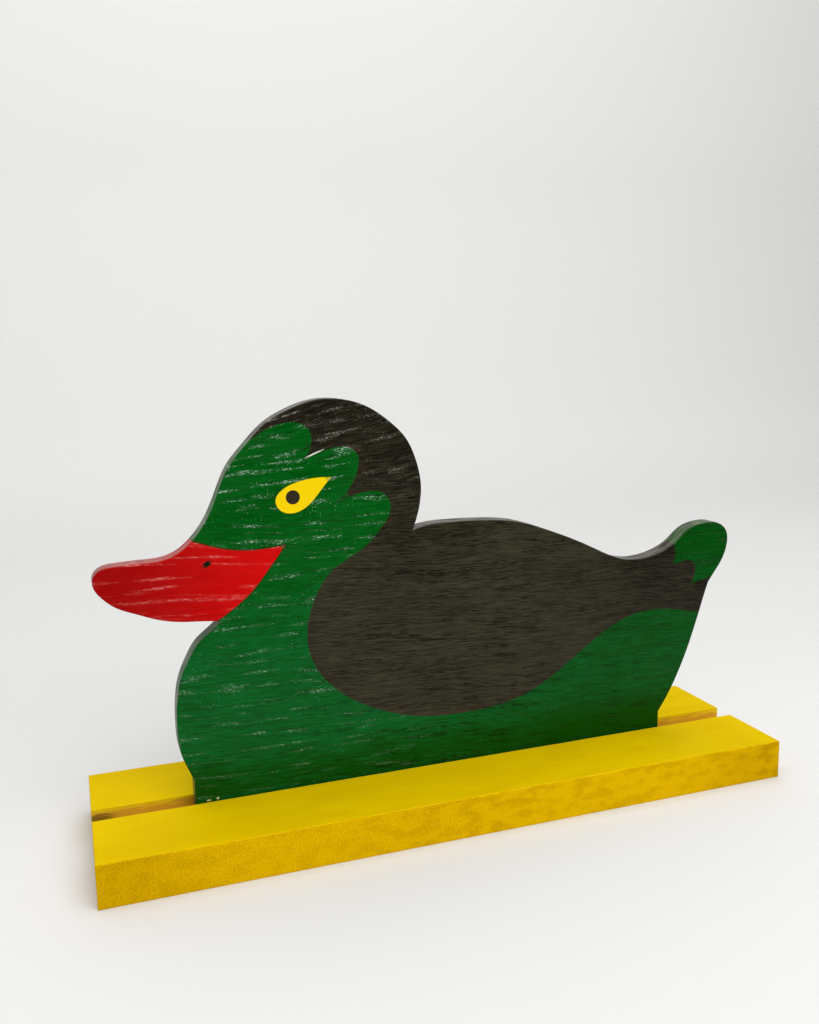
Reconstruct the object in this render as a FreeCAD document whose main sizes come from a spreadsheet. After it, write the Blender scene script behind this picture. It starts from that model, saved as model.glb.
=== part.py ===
import FreeCAD, Part
import os

import Sketcher
from FreeCAD import Vector

# A duck sawn from flat board, standing in the long groove of a wooden base.
# The frame: X along the base from bill to tail, Y from front to back, Z up.
# The origin is the middle of the base's underside. All sizes are in millimetres.

# Driving dimensions, one row of the sheet each: alias, value, what it is.
DIMENSIONS = [
    ("base_length", 312.0, "base, end to end"),
    ("base_width", 84.0, "base, front to back"),
    ("base_thickness", 18.0, "base, the sheet it is sawn from"),
    ("base_arris", 0.5, "sanded edge of the base, rounded"),
    ("groove_width", 10.0, "groove, front to back"),
    ("groove_depth", 9.0, "groove, down from the top"),
    ("board_thickness", 9.0, "duck board"),
    ("board_arris", 0.6, "sanded edge of the duck board, as a small flat"),
    ("foot_front", 114.1, "duck's straight foot, from the middle to its breast end"),
    ("foot_back", 113.3, "duck's straight foot, from the middle to its stern end"),
    ("foot_front_top", 28.0, "height where the foot meets the breast"),
    ("foot_back_top", 25.8, "height where the foot meets the stern"),
]

# The duck's outline above its foot, as (x, z), going round from breast to stern.
# Each list is one smooth curve through its points, and the curves meet in corners.
BREAST = [
    (-114.1, 28.0), (-116.5, 33.9), (-119.0, 41.2), (-119.9, 52.0), (-119.2, 64.5),
    (-117.0, 73.9), (-113.5, 81.3), (-110.0, 86.8), (-105.2, 91.0), (-99.9, 95.6),
]
HEAD = [
    (-99.9, 95.6), (-106.0, 96.4), (-116.1, 97.2), (-125.6, 99.3), (-133.3, 102.3),
    (-141.2, 105.9), (-146.3, 110.4), (-149.0, 114.8), (-149.0, 118.1), (-146.6, 121.0),
    (-140.0, 122.5), (-131.0, 122.9), (-121.5, 123.5), (-115.2, 125.9), (-109.6, 130.6),
    (-104.5, 137.1), (-98.8, 148.8), (-94.1, 158.9), (-85.9, 168.9), (-78.7, 176.0),
    (-68.0, 182.1), (-55.5, 185.7), (-44.1, 185.2), (-35.0, 182.3), (-25.6, 176.2),
    (-17.0, 167.4), (-12.6, 157.4), (-10.7, 147.3), (-11.3, 139.3), (-15.0, 127.4),
]
BACK = [
    (-15.0, 127.4), (-8.0, 129.2), (4.4, 129.8), (19.4, 129.4), (34.3, 127.7),
    (49.5, 123.0), (64.6, 117.0), (79.5, 109.9), (89.4, 105.7), (99.6, 104.4),
    (109.7, 105.9), (119.9, 110.4), (128.5, 117.0), (137.1, 119.2), (145.4, 118.5),
    (150.1, 114.4), (150.8, 107.8), (147.4, 98.8), (143.1, 92.9), (140.3, 88.9),
]
STERN = [
    (140.3, 88.9), (135.7, 74.8), (130.2, 58.7), (124.0, 43.9), (113.3, 25.8),
]

SHEET = "Dimensions"


def make_sheet(doc):
    """The spreadsheet of driving dimensions: value in column B, its meaning in column C."""
    sheet = doc.addObject("Spreadsheet::Sheet", SHEET)
    for row, (alias, value, meaning) in enumerate(DIMENSIONS, start=1):
        sheet.set(f"A{row}", alias)
        sheet.set(f"B{row}", str(value))
        sheet.setAlias(f"B{row}", alias)
        sheet.set(f"C{row}", meaning)
    doc.recompute()
    return sheet


def sketch_on(body, role, name):
    """A sketch flat on one of the body's own origin planes."""
    plane = next(p for p in body.Origin.OriginFeatures if p.Role == role)
    sketch = body.newObject("Sketcher::SketchObject", name)
    sketch.AttachmentSupport = [(plane, "")]
    sketch.MapMode = "FlatFace"
    return sketch


def size_constraint(sketch, kind, places, name, formula):
    """A named dimension in a sketch, bound to the spreadsheet by its formula."""
    index = sketch.addConstraint(Sketcher.Constraint(kind, *places, 1.0))
    sketch.renameConstraint(index, name)
    sketch.setExpression(f"Constraints.{name}", formula)


def centred_rectangle(sketch, width_formula, height_formula):
    """A rectangle about the sketch's origin, with its two sides bound to formulas."""
    corners = [Vector(-1, -1), Vector(1, -1), Vector(1, 1), Vector(-1, 1)]
    for start, end in zip(corners, corners[1:] + corners[:1]):
        sketch.addGeometry(Part.LineSegment(start, end), False)
    for side in range(4):
        sketch.addConstraint(Sketcher.Constraint("Coincident", side, 2, (side + 1) % 4, 1))
        level = "Horizontal" if side % 2 == 0 else "Vertical"
        sketch.addConstraint(Sketcher.Constraint(level, side))
    sketch.addConstraint(Sketcher.Constraint("Symmetric", 0, 1, 1, 2, -1, 1))
    size_constraint(sketch, "DistanceX", (0, 1, 0, 2), "width", width_formula)
    size_constraint(sketch, "DistanceY", (1, 1, 1, 2), "height", height_formula)


def edges_of(shape, wanted):
    """The names of the shape's edges that the test accepts."""
    return [f"Edge{i}" for i, edge in enumerate(shape.Edges, start=1) if wanted(edge)]


def make_base(doc):
    """The grooved base: a slab, a groove along its whole length, and sanded edges."""
    body = doc.addObject("PartDesign::Body", "BaseBody")
    body.Label = "grooved_base"

    outline = sketch_on(body, "XY_Plane", "BaseOutline")
    centred_rectangle(outline, f"{SHEET}.base_length", f"{SHEET}.base_width")
    slab = body.newObject("PartDesign::Pad", "BaseSlab")
    slab.Profile = outline
    slab.setExpression("Length", f"{SHEET}.base_thickness")
    doc.recompute()

    strip = sketch_on(body, "XY_Plane", "GrooveOutline")
    strip.setExpression("AttachmentOffset.Base.z", f"{SHEET}.base_thickness")
    centred_rectangle(strip, f"{SHEET}.base_length * 1.1", f"{SHEET}.groove_width")
    groove = body.newObject("PartDesign::Pocket", "Groove")
    groove.Profile = strip
    groove.setExpression("Length", f"{SHEET}.groove_depth")
    doc.recompute()

    sheet = doc.getObject(SHEET)
    top = sheet.base_thickness
    groove_floor = top - sheet.groove_depth
    removed = slab.Shape.Volume - groove.Shape.Volume
    cut = sheet.base_length * sheet.groove_width * sheet.groove_depth
    if abs(removed - cut) > 1.0:
        raise SystemExit("the groove cut the wrong volume")

    def outer_edge(edge):
        """The edges above the level of the groove's floor: round the top, down the four
        corners and along the groove's mouth. The groove's floor and the underside stay sharp."""
        box = edge.BoundBox
        in_groove = max(abs(box.YMin), abs(box.YMax)) < sheet.groove_width / 2 + 0.01
        return not (in_groove and box.ZMin < top - 0.01) and box.ZMax > groove_floor - 0.01

    softened = body.newObject("PartDesign::Fillet", "BaseArris")
    softened.Base = (groove, edges_of(groove.Shape, outer_edge))
    softened.setExpression("Radius", f"{SHEET}.base_arris")
    doc.recompute()
    return body


def smooth_curve(points):
    """One curve that passes smoothly through the points."""
    curve = Part.BSplineCurve()
    curve.interpolate([Vector(x, z) for x, z in points])
    return curve


def make_duck(doc):
    """The duck board: its outline sawn from board, with its foot down in the groove."""
    body = doc.addObject("PartDesign::Body", "DuckBody")
    body.Label = "duck_board"
    sheet = doc.getObject(SHEET)
    floor = sheet.base_thickness - sheet.groove_depth

    outline = sketch_on(body, "XZ_Plane", "DuckOutline")
    for points in (BREAST, HEAD, BACK, STERN):
        outline.addGeometry(smooth_curve(points), False)
    stern_end = Vector(*STERN[-1])
    breast_start = Vector(*BREAST[0])
    heel = Vector(stern_end.x, floor)
    toe = Vector(breast_start.x, floor)
    for start, end in ((stern_end, heel), (heel, toe), (toe, breast_start)):
        outline.addGeometry(Part.LineSegment(start, end), False)
    stern_side, sole, breast_side = 4, 5, 6
    for first, second in ((0, 1), (1, 2), (2, 3), (3, 4), (4, 5), (5, 6), (6, 0)):
        outline.addConstraint(Sketcher.Constraint("Coincident", first, 2, second, 1))
    outline.addConstraint(Sketcher.Constraint("Vertical", stern_side))
    outline.addConstraint(Sketcher.Constraint("Horizontal", sole))
    outline.addConstraint(Sketcher.Constraint("Vertical", breast_side))
    size_constraint(outline, "DistanceX", (-1, 1, sole, 1), "heel_x", f"{SHEET}.foot_back")
    size_constraint(outline, "DistanceX", (sole, 2, -1, 1), "toe_x", f"{SHEET}.foot_front")
    size_constraint(
        outline, "DistanceY", (-1, 1, sole, 1), "sole_z",
        f"{SHEET}.base_thickness - {SHEET}.groove_depth",
    )
    size_constraint(
        outline, "DistanceY", (-1, 1, stern_side, 1), "stern_z", f"{SHEET}.foot_back_top"
    )
    size_constraint(
        outline, "DistanceY", (-1, 1, breast_side, 2), "breast_z", f"{SHEET}.foot_front_top"
    )

    board = body.newObject("PartDesign::Pad", "DuckBoard")
    board.Profile = outline
    board.Midplane = True
    board.setExpression("Length", f"{SHEET}.board_thickness")
    doc.recompute()

    def rim_edge(edge):
        """The edges round the two painted faces, not those through the thickness."""
        box = edge.BoundBox
        return box.YMax - box.YMin < 0.01

    softened = body.newObject("PartDesign::Chamfer", "DuckArris")
    softened.Base = (board, edges_of(board.Shape, rim_edge))
    softened.setExpression("Size", f"{SHEET}.board_arris")
    doc.recompute()
    return body


def check(doc, bodies):
    """Stop if any object of the document has failed or any piece has no sound solid."""
    for item in doc.Objects:
        if "Invalid" in item.State or "Error" in item.State:
            raise SystemExit(f"{item.Name} failed: {item.State}")
    for body in bodies:
        shape = body.Shape
        if shape.isNull() or not shape.isValid() or len(shape.Solids) != 1:
            raise SystemExit(f"{body.Label} is not one sound solid")


def main():
    doc = FreeCAD.newDocument("duck_on_base")
    make_sheet(doc)
    bodies = [make_base(doc), make_duck(doc)]
    doc.recompute()
    check(doc, bodies)
    os.makedirs("parts", exist_ok=True)
    for body in bodies:
        body.Shape.exportStep(os.path.join("parts", f"{body.Label}.step"))
        box = body.Shape.BoundBox
        print(body.Label, f"{box.XLength:.1f} x {box.YLength:.1f} x {box.ZLength:.1f} mm",
              f"volume {body.Shape.Volume / 1000:.1f} cm3")


main()
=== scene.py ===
import math
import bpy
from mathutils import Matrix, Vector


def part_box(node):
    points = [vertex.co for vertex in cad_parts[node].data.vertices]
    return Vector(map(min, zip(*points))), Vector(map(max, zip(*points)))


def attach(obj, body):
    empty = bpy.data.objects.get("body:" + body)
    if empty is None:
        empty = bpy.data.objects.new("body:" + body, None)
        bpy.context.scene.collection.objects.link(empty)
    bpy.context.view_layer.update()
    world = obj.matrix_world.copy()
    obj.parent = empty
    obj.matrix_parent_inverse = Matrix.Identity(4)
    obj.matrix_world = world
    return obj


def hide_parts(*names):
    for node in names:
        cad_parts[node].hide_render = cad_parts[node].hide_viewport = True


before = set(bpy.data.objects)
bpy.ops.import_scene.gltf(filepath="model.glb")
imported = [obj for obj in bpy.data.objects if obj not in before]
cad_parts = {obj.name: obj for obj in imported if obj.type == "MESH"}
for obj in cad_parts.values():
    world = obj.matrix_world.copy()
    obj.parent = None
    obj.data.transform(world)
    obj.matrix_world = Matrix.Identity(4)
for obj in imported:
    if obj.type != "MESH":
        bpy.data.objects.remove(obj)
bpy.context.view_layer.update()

from types import SimpleNamespace

import bpy
import numpy as np
from mathutils import Matrix, Vector
from mathutils.geometry import delaunay_2d_cdt

# A duck sawn from open-grained board and painted, standing in the groove of a painted base.
# X runs along the base from bill to tail, Y from front to back and Z up.
# Outlines are in millimetres, as (x, z), and every mesh is in metres.

MM = 0.001
BASE_END, BASE_SIDE, BASE_TOP_Z = np.array(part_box("grooved_base")[1]) / MM
duck_low, duck_high = (np.array(corner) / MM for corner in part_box("duck_board"))

GROOVE_FLOOR = duck_low[2]
BOARD_HALF = duck_high[1]
SIDE_ROOM = 0.5
GROOVE_HALF = BOARD_HALF + SIDE_ROOM

# The radii of the sanded edges, and the width of the flat lip that is kept inside them.
DUCK_ARRIS = 0.6
BASE_ARRIS = 0.45
UNDER_ARRIS = 0.2
END_ARRIS = 0.3
MOUTH_ARRIS = 0.35
THIN_ARRIS = 0.05
FACE_LIP = 0.4

# The duck's outline, going round from breast to stern.
BREAST = [
    (-114.1, 28.0), (-116.5, 33.9), (-119.0, 41.2), (-119.9, 52.0), (-119.2, 64.5),
    (-117.0, 73.9), (-113.5, 81.3), (-110.0, 86.8), (-105.2, 91.0), (-99.9, 95.6),
]
HEAD = [
    (-99.9, 95.6), (-106.0, 96.4), (-116.1, 97.2), (-125.6, 99.3), (-133.3, 102.3),
    (-141.2, 105.9), (-146.3, 110.4), (-149.0, 114.8), (-149.0, 118.1), (-146.6, 121.0),
    (-140.0, 122.5), (-131.0, 122.9), (-121.5, 123.5), (-115.2, 125.9), (-109.6, 130.6),
    (-104.5, 137.1), (-98.8, 148.8), (-94.1, 158.9), (-85.9, 168.9), (-78.7, 176.0),
    (-68.0, 182.1), (-55.5, 185.7), (-44.1, 185.2), (-35.0, 182.3), (-25.6, 176.2),
    (-17.0, 167.4), (-12.6, 157.4), (-10.7, 147.3), (-11.3, 139.3), (-15.0, 127.4),
]
BACK = [
    (-15.0, 127.4), (-8.0, 129.2), (4.4, 129.8), (19.4, 129.4), (34.3, 127.7),
    (49.5, 123.0), (64.6, 117.0), (79.5, 109.9), (89.4, 105.7), (99.6, 104.4),
    (109.7, 105.9), (119.9, 110.4), (128.5, 117.0), (137.1, 119.2), (145.4, 118.5),
    (150.1, 114.4), (150.8, 107.8), (147.4, 98.8), (143.1, 92.9), (140.3, 88.9),
]
STERN = [
    (140.3, 88.9), (135.7, 74.8), (130.2, 58.7), (124.0, 43.9), (113.3, 25.8),
]
HEEL = [(113.3, 25.8), (113.3, GROOVE_FLOOR)]
SOLE = [(113.3, GROOVE_FLOOR), (-114.1, GROOVE_FLOOR)]
TOE = [(-114.1, GROOVE_FLOOR), (-114.1, 28.0)]

# The borders of the painted areas. Each border is a chain of smooth curves that meet in
# cusps, and its loose points close the area in the air outside the duck.
BILL_TOP = [
    (-111.5, 130.8), (-105.9, 128.8), (-98.8, 126.4), (-91.0, 124.9), (-81.0, 124.7),
    (-71.7, 125.6),
]
BILL_CHEEK = [
    (-71.7, 125.6), (-75.8, 120.1), (-80.8, 113.7), (-85.9, 107.7), (-91.7, 102.6),
    (-98.8, 97.7), (-103.5, 95.0),
]
BILL_OUTSIDE = [(-130.0, 90.0), (-165.0, 95.0), (-165.0, 140.0), (-120.0, 140.0)]

CAP_CREST = [
    (-88.0, 168.6), (-84.4, 170.2), (-77.2, 174.5), (-70.1, 176.5), (-64.6, 176.3),
    (-60.2, 173.6), (-59.0, 169.8), (-60.0, 164.9), (-63.3, 160.4),
]
CAP_BROW = [
    (-63.3, 160.4), (-57.2, 163.2), (-50.1, 165.2), (-43.0, 165.0), (-39.3, 162.1),
    (-39.1, 156.6), (-42.8, 148.4), (-47.2, 143.8), (-50.8, 140.8),
]
CAP_NECK = [
    (-50.8, 140.8), (-43.0, 144.2), (-35.5, 145.9), (-28.9, 145.1), (-25.3, 141.2),
    (-25.5, 135.5), (-29.2, 129.9), (-35.0, 123.6), (-44.2, 117.6), (-52.7, 112.0),
    (-58.8, 103.2), (-62.7, 92.6), (-63.6, 83.0), (-60.7, 72.0), (-54.5, 62.9),
    (-45.0, 54.7), (-33.0, 48.1), (-19.0, 43.3), (-4.0, 40.8), (14.4, 40.7),
    (31.9, 42.8), (47.0, 48.4), (62.0, 57.5), (77.0, 67.9), (89.6, 74.7),
    (99.6, 77.8), (112.0, 78.4), (124.6, 76.6), (134.7, 74.6), (141.0, 74.0),
]
CAP_OUTSIDE = [(170.0, 74.0), (170.0, 210.0), (-105.0, 210.0), (-105.0, 176.0)]

TAIL_FRONT = [(118.8, 113.5), (120.3, 108.4), (120.7, 104.6), (118.5, 100.2)]
TAIL_LOBE = [
    (118.5, 100.2), (123.2, 100.8), (128.4, 101.5), (131.6, 99.6), (132.4, 95.6),
    (131.2, 91.8), (128.7, 87.9),
]
TAIL_UNDER = [(128.7, 87.9), (132.4, 89.6), (137.0, 90.9), (146.0, 93.6)]
TAIL_OUTSIDE = [(170.0, 95.0), (170.0, 135.0), (118.0, 135.0)]

EYE = [
    (-50.8, 153.0), (-57.5, 153.1), (-65.1, 151.9), (-72.0, 148.9), (-75.0, 144.8),
    (-73.6, 140.8), (-69.0, 138.8), (-64.0, 139.9), (-58.7, 144.1), (-50.8, 153.0),
]
PUPIL_CENTRE = (-67.7, 145.5)
PUPIL_RADIUS = 3.0
NOSTRIL_ENDS = ((-105.5, 119.7), (-103.2, 121.0))
NOSTRIL_RADIUS = 1.05

# How far apart the meshes' points are: on the outline, the paint's borders, the duck's
# faces, the base's section and its end caps, and from an arris to the first point beside it.
RIM_STEP = 0.8
BORDER_STEP = 0.6
FACE_STEP = 1.5
SECTION_STEP = 4.0
CAP_STEP = 3.0
BESIDE_ARRIS = 0.25

# How many samples there are round the pupil, round each end of the nostril, on an arris,
# through the duck's sawn edge and along the base.
PUPIL_SAMPLES = 40
NOSTRIL_SAMPLES = 9
ARRIS_SAMPLES = 6
SAWN_SAMPLES = 7
BASE_STATIONS = 121

# An arris is a quarter circle. Its paint is worn, half as much where it starts and ends, and
# the lip beside it isn't.
QUARTER_TURN = np.linspace(0.0, 0.5 * math.pi, ARRIS_SAMPLES)
LIP_AND_ARRIS_WORN = np.concatenate([[0.0, 0.5], np.ones(ARRIS_SAMPLES - 2), [0.5]])

# How far an inset may be lengthened at a corner, what the triangulation is asked for and how
# near two of its points may be, and what stands in for zero in a division.
LONGEST_MITRE = 1.35
WHOLE_HULL = 0
SAME_POINT = 1e-7
ALMOST_NOTHING = 1e-12


# ---------------------------------------------------------------- outlines

def smooth_curve(points, step):
    """Evenly spaced samples on the cubic spline through the points.

    The parameter is the chord length. Between two points the curve is a cubic whose slopes
    there solve the usual three-term equations, which make the bending continuous; at each end
    the slope is that of the one cubic through the four nearest points.
    """
    knots = np.array(points, float)
    chords = np.hypot(*np.diff(knots, axis=0).T)
    along = np.concatenate([[0.0], np.cumsum(chords)])
    count = len(knots)
    system = np.eye(count)
    right = np.zeros((count, 2))
    for end, near in ((0, slice(0, 4)), (-1, slice(-4, None))):
        cubic = np.polyfit(along[near] - along[end], knots[near], 3)
        right[end] = cubic[2]
    inner = np.arange(1, count - 1)
    before, after = chords[:-1], chords[1:]
    system[inner, inner - 1] = after
    system[inner, inner] = 2.0 * (before + after)
    system[inner, inner + 1] = before
    right[inner] = 3.0 * (
        (after / before)[:, None] * (knots[1:-1] - knots[:-2])
        + (before / after)[:, None] * (knots[2:] - knots[1:-1])
    )
    slopes = np.linalg.solve(system, right)

    samples_a_point = 60
    fine = np.linspace(0.0, along[-1], samples_a_point * count)
    dense = hermite(knots, slopes, along, fine)
    travelled = np.concatenate([[0.0], np.cumsum(np.hypot(*np.diff(dense, axis=0).T))])
    samples = max(2, int(round(travelled[-1] / step))) + 1
    even = np.interp(np.linspace(0.0, travelled[-1], samples), travelled, fine)
    return hermite(knots, slopes, along, even)


def hermite(knots, slopes, along, places):
    """The piecewise cubic with those knots and slopes, at the given places along it."""
    piece = np.clip(np.searchsorted(along, places, side="right") - 1, 0, len(knots) - 2)
    width = (along[piece + 1] - along[piece])[:, None]
    t = (places - along[piece])[:, None] / width
    return (
        (2 * t**3 - 3 * t**2 + 1) * knots[piece]
        + (t**3 - 2 * t**2 + t) * width * slopes[piece]
        + (3 * t**2 - 2 * t**3) * knots[piece + 1]
        + (t**3 - t**2) * width * slopes[piece + 1]
    )


def straight(points, step, clear_start=0.0, clear_end=0.0):
    """Both ends of a straight line and evenly spaced samples between them, none of which
    lies within the clear lengths of the ends."""
    start, end = np.array(points, float)
    length = np.hypot(*(end - start))
    travelled = np.linspace(0.0, length, max(2, int(round(length / step))) + 1)
    wanted = (travelled > clear_start) & (travelled < length - clear_end)
    wanted[[0, -1]] = True
    return start + travelled[wanted, None] / length * (end - start)


def closed_chain(curves):
    """One closed loop from curves that meet end to end: each gives all but its last sample."""
    return np.concatenate([curve[:-1] for curve in curves])


def duck_outline():
    """The duck's whole outline as one closed loop.

    The sole's two square corners have no neighbours nearer than the edge profile is deep, so
    that the rings drawn inwards from the outline do not fold there.
    """
    smooth = [smooth_curve(points, RIM_STEP) for points in (BREAST, HEAD, BACK, STERN)]
    clear = 2.0 * (DUCK_ARRIS + FACE_LIP)
    heel = straight(HEEL, RIM_STEP, 0.0, clear)
    sole = straight(SOLE, RIM_STEP, clear, clear)
    toe = straight(TOE, RIM_STEP, clear, 0.0)
    return closed_chain([*smooth, heel, sole, toe])


def area_inside(points, loop):
    """How deep each point lies inside a closed loop, in millimetres, negative outside.

    It is the distance to the nearest side, and the sign comes from counting the sides that
    a ray along +X crosses.
    """
    starts = loop
    ends = np.roll(loop, -1, axis=0)
    sides = ends - starts
    squared_lengths = np.maximum((sides**2).sum(1), ALMOST_NOTHING)
    depths = []
    block_size = 2000
    for block in np.array_split(points, max(1, len(points) // block_size)):
        offset = block[:, None, :] - starts[None]
        share = np.clip((offset * sides).sum(2) / squared_lengths, 0.0, 1.0)
        gap = offset - share[:, :, None] * sides
        nearest = np.sqrt((gap**2).sum(2).min(1))
        above = (starts[None, :, 1] > block[:, None, 1]) != (ends[None, :, 1] > block[:, None, 1])
        level = np.abs(sides[:, 1]) < ALMOST_NOTHING
        rise = np.where(level, ALMOST_NOTHING, sides[:, 1])
        crossing = starts[:, 0] + (block[:, None, 1] - starts[:, 1]) * sides[:, 0] / rise
        inside = (above & (block[:, None, 0] < crossing)).sum(1) % 2 == 1
        depths.append(np.where(inside, nearest, -nearest))
    return np.concatenate(depths)


def paint_borders():
    """The sampled borders of the painted areas: a list of curves for each area."""
    def sampled(*chains):
        return [smooth_curve(points, BORDER_STEP) for points in chains]

    turn = np.linspace(0.0, 2.0 * math.pi, PUPIL_SAMPLES)
    ring = np.column_stack([np.cos(turn), np.sin(turn)])
    pupil = np.array(PUPIL_CENTRE) + PUPIL_RADIUS * ring

    first, last = (np.array(end) for end in NOSTRIL_ENDS)
    heading = math.atan2(*(last - first)[::-1])
    half_turn = heading + np.linspace(0.5, 1.5, NOSTRIL_SAMPLES) * math.pi
    cap = np.column_stack([np.cos(half_turn), np.sin(half_turn)]) * NOSTRIL_RADIUS
    nostril = np.concatenate([first + cap, last - cap, first + cap[:1]])

    return {
        "red_area": sampled(BILL_TOP, BILL_CHEEK),
        "black_area": sampled(CAP_CREST, CAP_BROW, CAP_NECK),
        "tail_area": sampled(TAIL_FRONT, TAIL_LOBE, TAIL_UNDER),
        "eye_area": sampled(EYE),
        "pupil_area": [pupil],
        "nostril_area": [nostril],
    }


OUTSIDE = {"red_area": BILL_OUTSIDE, "black_area": CAP_OUTSIDE, "tail_area": TAIL_OUTSIDE}


def paint_depths(points, borders):
    """For each painted area, how deep each point lies in it. The tail's green tip is kept
    out of the black."""
    depths = {}
    for area, curves in borders.items():
        loop = np.concatenate(curves + [np.array(OUTSIDE.get(area, np.empty((0, 2))))])
        depths[area] = area_inside(points, loop)
    depths["black_area"] = np.minimum(depths["black_area"], -depths.pop("tail_area"))
    return depths


# ---------------------------------------------------------------- meshes

def fill_face(rim, inner, lines=()):
    """Fills a closed loop with triangles: all its points, and rows of point numbers.

    It is the Delaunay triangulation of the rim, the inner points and the lines' points that
    keeps the rim and the lines as edges, less the triangles outside the rim. Lines may share
    points. The triangles turn anticlockwise.
    """
    border = np.concatenate(lines) if len(lines) else np.empty((0, 2))
    if len(border):
        first_seen = np.unique(np.round(border, 5), axis=0, return_index=True)[1]
        border = border[np.sort(first_seen)]
    points = np.concatenate([rim, inner, border])
    edges = []
    for line in lines:
        places = np.abs(line[:, None] - border[None]).sum(2).argmin(1) + len(rim) + len(inner)
        edges += np.column_stack([places[:-1], places[1:]]).tolist()
    around = np.arange(len(rim))
    edges += np.column_stack([around, np.roll(around, -1)]).tolist()
    made = delaunay_2d_cdt(
        [Vector(point) for point in points.tolist()], edges, [], WHOLE_HULL, SAME_POINT, True
    )
    if len(made[0]) != len(points):
        raise RuntimeError("a line crosses the rim or another line")
    source = np.array([origin[0] for origin in made[3]])
    triangles = source[np.array(made[2])]
    triangles = triangles[area_inside(points[triangles].mean(axis=1), rim) > 0.0]
    a, b, c = (points[triangles[:, corner]] for corner in range(3))
    turn = (b[:, 0] - a[:, 0]) * (c[:, 1] - a[:, 1]) - (b[:, 1] - a[:, 1]) * (c[:, 0] - a[:, 0])
    return points, np.where((turn > 0.0)[:, None], triangles, triangles[:, ::-1])


def parts_inside(curve, rim):
    """The stretches of a sampled curve that lie inside a closed loop and clear of it."""
    inside = area_inside(curve, rim) > BORDER_STEP
    breaks = np.flatnonzero(np.diff(inside.astype(int))) + 1
    stretches = np.split(curve, breaks)
    kept = np.split(inside, breaks)
    return [stretch for stretch, flags in zip(stretches, kept) if flags[0] and len(stretch) > 1]


def staggered_grid(rim, step, lines=()):
    """Points on a triangular grid inside a closed loop, clear of its rim and of the lines."""
    low, high = rim.min(0), rim.max(0)
    rows = np.arange(low[1], high[1], step * math.sqrt(3.0) / 2.0)
    columns = np.arange(low[0], high[0], step)
    across, up = np.meshgrid(columns, rows)
    across = across + (np.arange(len(rows)) % 2 * step / 2.0)[:, None]
    grid = np.column_stack([across.ravel(), up.ravel()])
    rim_gap, line_gap = 0.6 * step, 0.55 * step
    grid = grid[area_inside(grid, rim) > rim_gap]
    for line in lines:
        gap = np.hypot(grid[:, None, 0] - line[:, 0], grid[:, None, 1] - line[:, 1]).min(1)
        grid = grid[gap > line_gap]
    return grid


def outward_directions(loop):
    """The loop's outward direction at each sample, a little longer at corners so that an
    inset keeps its width there. The loop runs clockwise seen from the front."""
    sides = np.roll(loop, -1, axis=0) - loop
    sides /= np.hypot(*sides.T)[:, None]
    facing = np.column_stack([-sides[:, 1], sides[:, 0]])
    mean = facing + np.roll(facing, 1, axis=0)
    mean /= np.hypot(*mean.T)[:, None]
    lean = (mean * facing).sum(1)
    return mean * np.minimum(1.0 / np.maximum(lean, 0.1), LONGEST_MITRE)[:, None]


def ring_quads(numbers):
    """Quads between neighbouring rings, from an array of point numbers with a row a ring."""
    here, after = numbers[:-1], numbers[1:]
    corners = [here, np.roll(here, -1, axis=1), np.roll(after, -1, axis=1), after]
    return np.stack(corners, axis=2).reshape(-1, 4)


def gentle_waves(place, seed, longest, height):
    """A smooth random line: five sines, each with half the length and half the height of
    the one before it."""
    random = np.random.default_rng(seed)
    total = np.zeros_like(place)
    for octave in range(5):
        phase = random.uniform(0.0, 2.0 * math.pi)
        stretch = random.uniform(0.85, 1.15)
        total += np.sin(2.0 * math.pi * place * stretch * 2**octave / longest + phase) / 2**octave
    return height * total / 2.0


def make_mesh(name, points, faces, marks):
    """A mesh object at the origin from points in millimetres, faces as rows of point numbers
    and marks, which are named values on the points."""
    mesh = bpy.data.meshes.new(name)
    mesh.from_pydata((points * MM).tolist(), [], faces)
    for mark, values in marks.items():
        layer = mesh.attributes.new(mark, "FLOAT", "POINT")
        layer.data.foreach_set("value", np.asarray(values, np.float32))
    mesh.polygons.foreach_set("use_smooth", np.ones(len(mesh.polygons), bool))
    mesh.update()
    piece = bpy.data.objects.new(name, mesh)
    bpy.context.scene.collection.objects.link(piece)
    return piece


def duck_profile():
    """The duck's edge from front to back: a narrow lip of the face, a quarter circle, the
    straight sawn edge, and the same again in reverse. Each sample has its depth inside the
    outline, its y and how worn it is."""
    turn = QUARTER_TURN
    depth = np.concatenate([[DUCK_ARRIS + FACE_LIP], DUCK_ARRIS * (1.0 - np.sin(turn))])
    y = np.concatenate([[0.0], DUCK_ARRIS * (1.0 - np.cos(turn))]) - BOARD_HALF
    sawn_y = np.linspace(-1.0, 1.0, SAWN_SAMPLES)[1:-1] * (BOARD_HALF - DUCK_ARRIS)
    sawn = np.zeros(len(sawn_y))
    worn = LIP_AND_ARRIS_WORN
    return (
        np.concatenate([depth, sawn, depth[::-1]]), np.concatenate([y, sawn_y, -y[::-1]]),
        np.concatenate([worn, sawn, worn[::-1]]),
    )


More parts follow.
